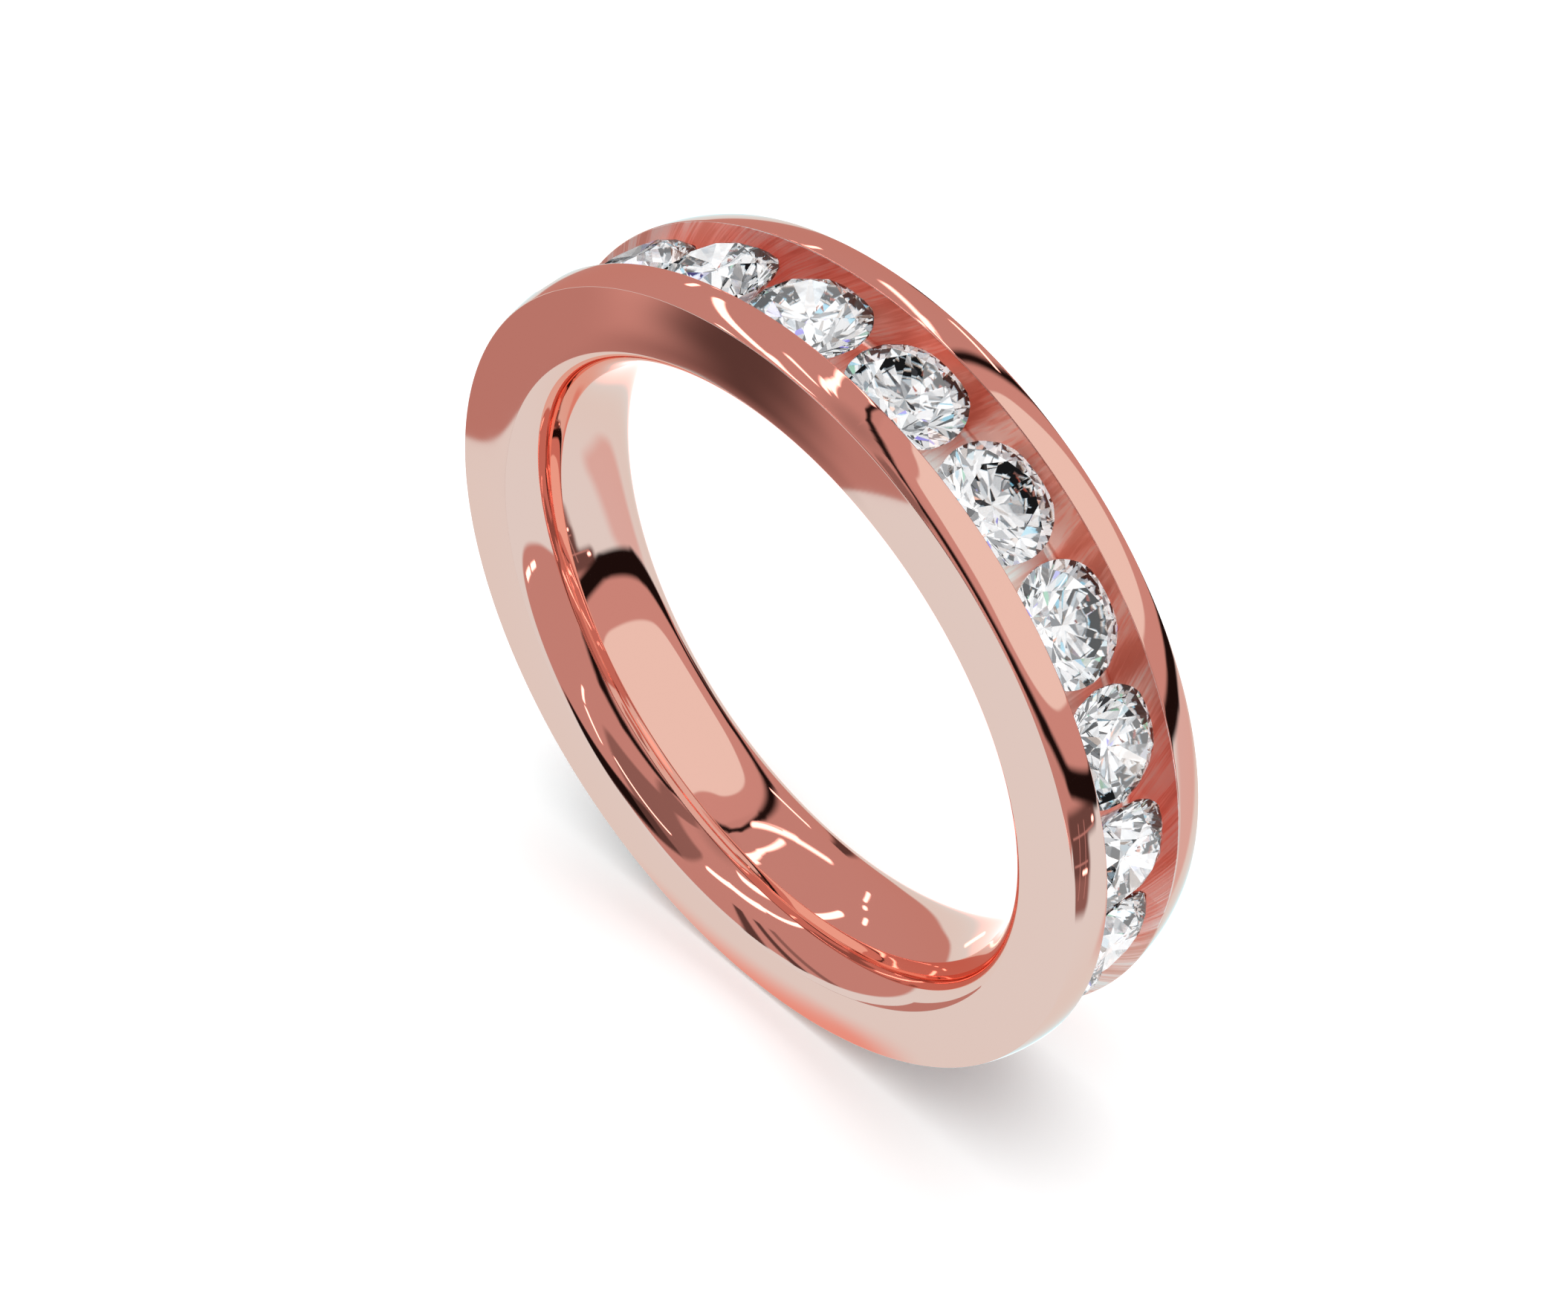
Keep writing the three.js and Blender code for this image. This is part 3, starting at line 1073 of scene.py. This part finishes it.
def make_world(s):
    """Soft white light on the floor, and a studio for polished things to mirror."""
    world = bpy.data.worlds.new("studio")
    world.use_nodes = True
    tree = world.node_tree
    tree.nodes.clear()
    rays = add_node(tree, "ShaderNodeLightPath").outputs
    way = add_node(tree, "ShaderNodeTexCoord").outputs["Generated"]
    height = add_node(tree, "ShaderNodeSeparateXYZ", {"Vector": way}).outputs["Z"]
    above = add_node(tree, "ShaderNodeMath", {0: height, 1: 0.0}, operation="MAXIMUM")
    overhead = add_node(
        tree, "ShaderNodeMath", {0: above.outputs[0], 1: s.overhead}, operation="POWER"
    )
    level = add_node(
        tree,
        "ShaderNodeMath",
        {0: overhead.outputs[0], 1: s.soft_light * (s.overhead + 2) / 2},
        operation="MULTIPLY",
    )
    soft = add_node(
        tree, "ShaderNodeBackground", {"Color": (1, 1, 1, 1), "Strength": level.outputs[0]}
    )
    mirror = add_node(tree, "ShaderNodeBackground", {"Color": studio(tree), "Strength": 1.0})
    stones = add_node(
        tree, "ShaderNodeBackground", {"Color": sparkle(tree), "Strength": s.sparkle}
    )
    for_gold = add_node(
        tree,
        "ShaderNodeMixShader",
        {0: rays["Is Glossy Ray"], 1: soft.outputs[0], 2: mirror.outputs[0]},
    )
    for_all = add_node(
        tree,
        "ShaderNodeMixShader",
        {0: rays["Is Singular Ray"], 1: for_gold.outputs[0], 2: stones.outputs[0]},
    )
    add_node(tree, "ShaderNodeOutputWorld", {"Surface": for_all.outputs[0]})
    bpy.context.scene.world = world


def make_camera(s):
    """The camera, upright, looking past the ring's centre from its bearing and height."""
    back = Vector(
        (
            math.sin(s.azimuth) * math.cos(s.elevation),
            -math.cos(s.azimuth) * math.cos(s.elevation),
            math.sin(s.elevation),
        )
    )
    right = Vector((0, 0, 1)).cross(back).normalized()
    up = back.cross(right)
    turn = Matrix((right, up, back)).transposed().to_4x4()
    place = back * s.distance + right * s.slide_right + up * s.slide_up
    data = bpy.data.cameras.new("camera")
    data.lens = s.lens
    data.sensor_width = 36
    data.clip_start = 1 * MM
    data.clip_end = 10
    camera = bpy.data.objects.new("camera", data)
    camera.matrix_world = Matrix.Translation(place) @ turn
    bpy.context.scene.collection.objects.link(camera)
    bpy.context.scene.camera = camera


class MakeStage(bpy.types.Operator):
    """Lay the floor, light it softly and place the camera"""

    bl_idname = "wedding_band.make_stage"
    bl_label = "Make Stage"

    def execute(self, context):
        s = context.scene.wedding_band_stage
        make_floor(s)
        make_world(s)
        make_camera(s)
        context.scene.view_settings.view_transform = "Standard"
        return {"FINISHED"}


# ---- sidebar and registration -------------------------------------------------------------


class BandPanel(bpy.types.Panel):
    """Sizes, colours and buttons of the wedding band"""

    bl_idname = "VIEW3D_PT_wedding_band"
    bl_label = "Wedding Band"
    bl_space_type = "VIEW_3D"
    bl_region_type = "UI"
    bl_category = "Wedding Band"

    def draw(self, context):
        for operator, group in STEPS:
            box = self.layout.box()
            settings = getattr(context.scene, group)
            for name in settings.__annotations__:
                box.prop(settings, name)
            box.operator(operator.bl_idname)


STEPS = (
    (MakeBand, "wedding_band"),
    (MakeDiamonds, "wedding_band_diamonds"),
    (MakeStage, "wedding_band_stage"),
)
GROUPS = {
    "wedding_band": BandSettings,
    "wedding_band_diamonds": DiamondSettings,
    "wedding_band_stage": StageSettings,
}


def register():
    for group, settings in GROUPS.items():
        bpy.utils.register_class(settings)
        setattr(bpy.types.Scene, group, bpy.props.PointerProperty(type=settings))
    for operator, _group in STEPS:
        bpy.utils.register_class(operator)
    bpy.utils.register_class(BandPanel)


def unregister():
    bpy.utils.unregister_class(BandPanel)
    for operator, _group in reversed(STEPS):
        bpy.utils.unregister_class(operator)
    for group, settings in reversed(GROUPS.items()):
        delattr(bpy.types.Scene, group)
        bpy.utils.unregister_class(settings)


def main():
    register()
    bpy.ops.wedding_band.make_stage()
    bpy.ops.wedding_band.make_band()
    bpy.ops.wedding_band.make_diamonds()
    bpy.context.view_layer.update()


if __name__ == "__main__":
    main()
